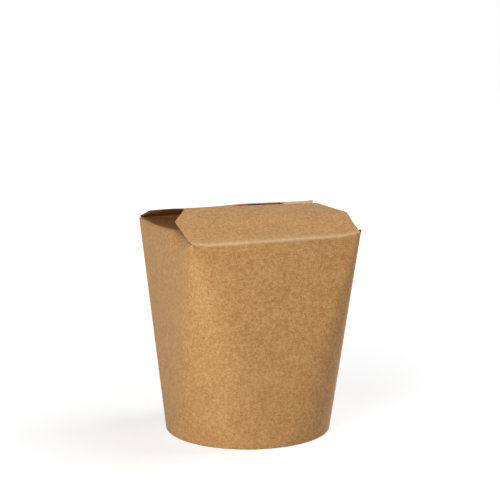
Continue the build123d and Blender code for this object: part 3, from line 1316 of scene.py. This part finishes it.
@dataclass
class FoldedSheet:
    """The one folded sheet of the box: wall, rolled foot, glued seam, back flap and two side flaps."""

    wall: WallShape
    roof: Roof
    finishes: Sequence[Finish]
    hem_height: float = 6.2 * MM
    hem_steps: int = 3
    roll_steps: int = 8
    low_heights: tuple[float, ...] = (2.0 * MM, 3.0 * MM, 4.2 * MM)
    hem_inset: float = 1.225 * MM
    roll_centre: float = 0.725 * MM
    row_spacing: float = 3.0 * MM
    corner_columns: int = 14
    tab_width: float = 12.0 * MM
    tab_foot: float = 4.2 * MM
    tab_full: float = 12.0 * MM
    tab_end: float = 4.0 * MM
    tab_narrow: float = 0.25
    tab_columns: int = 10
    raw_edge_share: float = 0.5 + 1e-9
    joggle_start: float = 0.44
    joggle_shares: tuple[float, ...] = (0.455, 0.475, 0.49, 0.5)
    side_start: float = 10.0 * MM
    side_end: float = 1.7 * MM
    front_start: float = 4.0 * MM
    back_start: float = 2.4 * MM
    back_end: float = 1.05 * MM
    notch_depth: float = 0.5 * MM
    notch_share: float = 0.35
    post_drops: tuple[float, ...] = tuple(
        drop * MM for drop in (10.0, 8.5, 7.2, 6.0, 5.0, 4.0, 3.2, 2.4, 1.7, 1.05, 0.35)
    )
    stations: list[Station] = field(init=False)
    rows: list[tuple[float, float]] = field(init=False)

    def __post_init__(self) -> None:
        """Sets out the columns and rows of the wall."""
        self.stations = self._stations()
        self.rows = self._rows()

    def _first_wall_row(self) -> int:
        """Number of the first row above the hem and its roll."""
        return self.hem_steps + self.roll_steps + 1

    def _stations(self) -> list[Station]:
        """Places round the wall, from the raw edge of the back panel once round to the joggle under it."""
        corner_shares = [step / self.corner_columns for step in range(self.corner_columns)]
        stations = [Station(Side.RIGHT, self.raw_edge_share, True)]
        stations += [Station(Side.RIGHT, share, True) for share in corner_shares if share > 0.5]
        for side in (Side.BACK, Side.LEFT, Side.FRONT):
            stations += [Station(side, step / Flap.columns) for step in range(Flap.columns)]
            stations += [Station(side, share, True) for share in corner_shares]
        stations += [Station(Side.RIGHT, step / Flap.columns) for step in range(Flap.columns)]
        last_shares = [share for share in corner_shares if share < self.joggle_start]
        last_shares += self.joggle_shares
        return stations + [Station(Side.RIGHT, share, True) for share in last_shares]

    def _rows(self) -> list[tuple[float, float]]:
        """Height and inset of each row, from the top of the hem down through the roll and up to the rim."""
        inset = self.wall.sizes.board / 2
        radius = (self.hem_inset - inset) / 2
        rows = [
            (mix(self.hem_height, self.roll_centre, step / self.hem_steps), self.hem_inset)
            for step in range(self.hem_steps)
        ]
        for step in range(self.roll_steps + 1):
            turn = math.pi * step / self.roll_steps
            rows.append((self.roll_centre - radius * math.sin(turn), inset + radius * (1 + math.cos(turn))))
        top = self.wall.sizes.rim_height - self.post_drops[0]
        heights = list(self.low_heights)
        count = round((top - heights[-1]) / self.row_spacing)
        heights += [mix(heights[-1], top, share) for share in steps(count)][:-1]
        rows += [(height, inset) for height in heights]
        return rows + [(self.wall.sizes.rim_height - drop, inset) for drop in self.post_drops]

    def _place(self, column: int, row: int) -> tuple[Vector, float]:
        """Point and mask value, which is 0, of the wall at a column line and a row line."""
        station = self.stations[column]
        height, inset = self.rows[row]
        inset += self.wall.lap(station, height) if row >= self._first_wall_row() else 0.0
        if station.corner and row == len(self.rows) - 1:
            off = (station.share - 0.5) / self.notch_share
            height -= self.notch_depth * math.sqrt(max(1.0 - off * off, 0.0))
        return self.wall.place(station, height, inset), 0.0

    def _is_open(self, column: int, row: int) -> bool:
        """Whether a face of the wall is cut away for the fold of a flap."""
        station = self.stations[column]
        starts = {
            Side.FRONT: self.front_start,
            Side.BACK: self.back_start,
            Side.LEFT: self.side_start,
            Side.RIGHT: self.side_start,
        }
        limit = self.wall.sizes.rim_height - starts[station.side] - SAME_HEIGHT
        return not station.corner and self.rows[row][0] > limit and row >= self._first_wall_row()

    def _tab_place(self, column: int, row: int) -> tuple[Vector, float]:
        """Point and mask value, which is 0, of the glued tab that runs on under the back panel."""
        rows = self._tab_rows()
        height, _ = rows[row]
        inset = 1.5 * self.wall.sizes.board + self.wall.lap_gap
        risen = (height - self.tab_foot) / (self.tab_full - self.tab_foot)
        width = self.tab_width * smooth(mix(self.tab_narrow, 1.0, risen))
        reach = width * (column / self.tab_columns)
        _, half_flat, radius = self.wall.panel(Side.RIGHT, height, inset)
        arc = radius * math.pi / 4
        if reach <= arc:
            station = Station(Side.RIGHT, 0.5 + 0.5 * reach / arc, True)
        else:
            back_half = self.wall.panel(Side.BACK, height, inset)[1]
            station = Station(Side.BACK, (reach - arc) / (2 * back_half))
        return self.wall.place(station, height, inset), 0.0

    def _tab_rows(self) -> list[tuple[float, float]]:
        """Rows of the wall that the tab is on."""
        top = self.wall.sizes.rim_height - self.tab_end + SAME_HEIGHT
        wall_rows = self.rows[self._first_wall_row() :]
        return [row for row in wall_rows if self.tab_foot - SAME_HEIGHT <= row[0] <= top]

    def root_heights(self, start: float, end: float) -> list[float]:
        """Heights of the wall's rows between two depths under the rim."""
        drops = [drop for drop in self.post_drops if end - SAME_HEIGHT <= drop <= start + SAME_HEIGHT]
        return [self.wall.sizes.rim_height - drop for drop in drops]

    def build(self) -> bpy.types.Object:
        """Builds the sheet.

        Returns:
            The finished object.
        """
        sheet = SheetMesh("folded_sheet")
        sheet.add_grid(len(self.stations) - 1, len(self.rows) - 1, self._place, self._is_open)
        sheet.add_grid(self.tab_columns, len(self._tab_rows()) - 1, self._tab_place)
        heights = self.root_heights(self.back_start, self.back_end)
        back = BackFlap(wall=self.wall, roof=self.roof, root_heights=heights)
        back.build(sheet, back.is_slot)
        heights = self.root_heights(self.side_start, self.side_end)
        for side in (Side.LEFT, Side.RIGHT):
            SideFlap(wall=self.wall, side=side, root_heights=heights).build(sheet)
        piece = sheet.finish(self.wall.sizes.board, self.finishes)
        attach(piece, BOX_BODY)
        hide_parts("carton")
        return piece


@dataclass
class ClosingFlap:
    """The front flap with the top strip of the front panel that it bends from."""

    wall: WallShape
    roof: Roof
    finishes: Sequence[Finish]
    start_drop: float = 4.0 * MM
    root_rows: int = 4
    root_step: float = 0.5 * MM
    still_drop: float = 3.6 * MM
    moving_reach: float = 1.6 * MM

    def build(self) -> bpy.types.Object:
        """Builds the flap.

        Returns:
            The finished object, which bends at its crease.
        """
        sizes = self.wall.sizes
        start_height = sizes.rim_height - self.start_drop
        heights = [start_height + step * self.root_step for step in range(self.root_rows)]
        sheet = SheetMesh("front_flap_sheet")
        FrontFlap(wall=self.wall, roof=self.roof, root_heights=heights).build(sheet)
        piece = sheet.finish(sizes.board, self.finishes)
        start = (0.0, sizes.hinge_y, sizes.rim_height - self.still_drop)
        end = (0.0, sizes.hinge_y + self.moving_reach, sizes.rim_height)
        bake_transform(piece, BOX_BODY, FLAP_BODY, start=start, end=end)
        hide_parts("front_flap")
        return piece


@dataclass
class BottomDisc:
    """The bottom: a disc of board with its edge turned down as a skirt inside the foot."""

    wall: WallShape
    finishes: Sequence[Finish]
    skirt_foot: float = 0.8 * MM
    skirt_inset: float = 0.5 * MM
    bend_radius: float = 0.4 * MM
    corner_columns: int = 16
    side_columns: int = 2
    skirt_steps: int = 3
    bend_steps: int = 4
    disc_rings: int = 12

    def build(self) -> bpy.types.Object:
        """Builds the disc.

        Returns:
            The finished object.
        """
        stations: list[Station] = []
        for side in Side:
            for corner, count in ((False, self.side_columns), (True, self.corner_columns)):
                stations += [Station(side, step / count, corner) for step in range(count)]
        stations.append(stations[0])
        board = self.wall.sizes.board
        top = self.wall.sizes.disc_height - board / 2
        inset = self.skirt_inset + board / 2
        radius = self.bend_radius - board / 2
        skirt_shares = [0.0, *steps(self.skirt_steps)]
        rows = [(mix(self.skirt_foot, top - radius, share), inset, 1.0) for share in skirt_shares]
        for share in steps(self.bend_steps):
            turn = share * math.pi / 2
            rows.append((top - radius * (1 - math.sin(turn)), inset + radius * (1 - math.cos(turn)), 1.0))
        rows += [(top, inset + radius, 1.0 - share) for share in steps(self.disc_rings)]

        def place(column: int, row: int) -> tuple[Vector, float]:
            """Point and mask value, which is 0, of the disc."""
            height, row_inset, share = rows[row]
            point = self.wall.place(stations[column], height, row_inset)
            return Vector((point.x * share, point.y * share, point.z)), 0.0

        sheet = SheetMesh("bottom_disc")
        sheet.add_grid(len(stations) - 1, len(rows) - 1, place)
        piece = sheet.finish(board, self.finishes)
        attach(piece, BOX_BODY)
        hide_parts("base_disc")
        return piece


@dataclass(frozen=True)
class Lamp:
    """A round soft lamp that faces the box. Its strength is how bright it makes white paper."""

    name: str
    azimuth: float
    elevation: float
    distance: float
    width: float
    strength: float

    def build(self, target: Vector) -> None:
        """Makes the lamp.

        Args:
            target: Point that it faces.
        """
        data = bpy.data.lights.new(self.name, "AREA")
        data.shape = "DISK"
        data.size = self.width
        data.energy = self.strength * (math.pi * self.distance) ** 2
        lamp = add_object(self.name, data)
        azimuth, elevation = math.radians(self.azimuth), math.radians(self.elevation)
        level = math.cos(elevation)
        towards = Vector((math.sin(azimuth) * level, -math.cos(azimuth) * level, math.sin(elevation)))
        lamp.location = target + towards * self.distance
        aim(lamp, towards, "Z")


@dataclass(frozen=True)
class Studio:
    """Plain pale floor, soft lamps round the box, and the camera."""

    camera_place: tuple[float, float, float] = (-0.3429, -0.9004, 0.2825)
    camera_target: tuple[float, float, float] = (0.00118, -0.00045, 0.09603)
    lens: float = 134.3
    sensor_width: float = 36.0
    sky_strength: float = 0.0
    lamp_target: tuple[float, float, float] = (0.0, 0.0, 0.09)
    lamps: tuple[Lamp, ...] = (
        Lamp("key", azimuth=-45.0, elevation=15.0, distance=0.7, width=0.35, strength=0.87),
        Lamp("fill", azimuth=90.0, elevation=20.0, distance=1.0, width=0.6, strength=0.40),
        Lamp("top", azimuth=90.0, elevation=70.0, distance=1.0, width=0.6, strength=0.36),
    )
    floor_half: float = 8.0
    floor_colour: Colour = (0.5, 0.5, 0.5)
    floor_lift: float = 0.68
    lift_start: float = 0.1
    lift_full: float = 0.5

    def build(self) -> None:
        """Makes the floor, the world, the lamps and the camera."""
        self._floor()
        self._world()
        for lamp in self.lamps:
            lamp.build(Vector(self.lamp_target))
        self._camera()

    def _floor(self) -> None:
        """Makes the floor, which keeps the box's shadow and looks white to the camera."""
        mesh = bmesh.new()
        bmesh.ops.create_grid(mesh, x_segments=1, y_segments=1, size=self.floor_half)
        data = bpy.data.meshes.new("floor")
        mesh.to_mesh(data)
        mesh.free()
        floor = add_object("floor", data)
        material = bpy.data.materials.new("pale_floor")
        graph = NodeGraph.fresh(material)
        paper = graph.add("ShaderNodeBsdfDiffuse", {"Color": (*self.floor_colour, 1.0)})
        lift = graph.add("ShaderNodeEmission", {"Color": (1.0, 1.0, 1.0, 1.0)})
        place = graph.add("ShaderNodeTexCoord").outputs["Object"]
        away = graph.length(place)
        level = graph.map_range(away, self.lift_start, self.lift_full, self.floor_lift, 1.0)
        graph.link(graph.math("MULTIPLY", self._seen(graph), level), lift.inputs["Strength"])
        both = graph.add("ShaderNodeAddShader")
        graph.link(paper.outputs["BSDF"], both.inputs[0])
        graph.link(lift.outputs["Emission"], both.inputs[1])
        graph.link(both.outputs["Shader"], graph.add("ShaderNodeOutputMaterial").inputs["Surface"])
        data.materials.append(material)

    @staticmethod
    def _seen(graph: NodeGraph) -> Socket:
        """Adds a mask of the rays that show the background: those of the camera, gloss and glass."""
        rays = graph.add("ShaderNodeLightPath")
        gloss = graph.math("MAXIMUM", rays.outputs["Is Camera Ray"], rays.outputs["Is Glossy Ray"])
        return graph.math("MAXIMUM", gloss, rays.outputs["Is Transmission Ray"])

    def _world(self) -> None:
        """Makes a world that looks white to the camera and in gloss, and lights nothing else."""
        world = bpy.data.worlds.new("studio")
        bpy.context.scene.world = world
        graph = NodeGraph.fresh(world)
        light, white = (
            graph.add("ShaderNodeBackground", {"Color": (1.0, 1.0, 1.0, 1.0), "Strength": strength})
            for strength in (self.sky_strength, 1.0)
        )
        choice = graph.add("ShaderNodeMixShader")
        graph.link(self._seen(graph), choice.inputs["Fac"])
        graph.link(light.outputs["Background"], choice.inputs[1])
        graph.link(white.outputs["Background"], choice.inputs[2])
        graph.link(choice.outputs["Shader"], graph.add("ShaderNodeOutputWorld").inputs["Surface"])

    def _camera(self) -> None:
        """Makes the camera at the photograph's angle."""
        data = bpy.data.cameras.new("camera")
        data.lens = self.lens
        data.sensor_width = self.sensor_width
        camera = add_object("camera", data)
        camera.location = self.camera_place
        away = Vector(self.camera_target) - Vector(self.camera_place)
        aim(camera, away, "-Z")
        bpy.context.scene.camera = camera


def main() -> None:
    """Builds the box, its finishes and the studio."""
    logging.basicConfig(level=logging.INFO, format="%(name)s %(message)s")
    scene = bpy.context.scene
    scene.view_settings.view_transform = "Standard"
    sizes = BoxSizes.from_frame()
    wall = WallShape(sizes)
    roof = Roof(sizes)
    grain = Grain().build()
    outside, inside, edge = (finish.build(grain) for finish in (OUTSIDE_FINISH, INSIDE_PAINTED_SHADE_FINISH, EDGE_FINISH))
    pieces = [
        FoldedSheet(wall, roof, (outside, inside, edge)).build(),
        ClosingFlap(wall, roof, (outside, inside, edge)).build(),
        BottomDisc(wall, (inside, outside, edge)).build(),
    ]
    Studio().build()


if __name__ == "__main__":
    main()
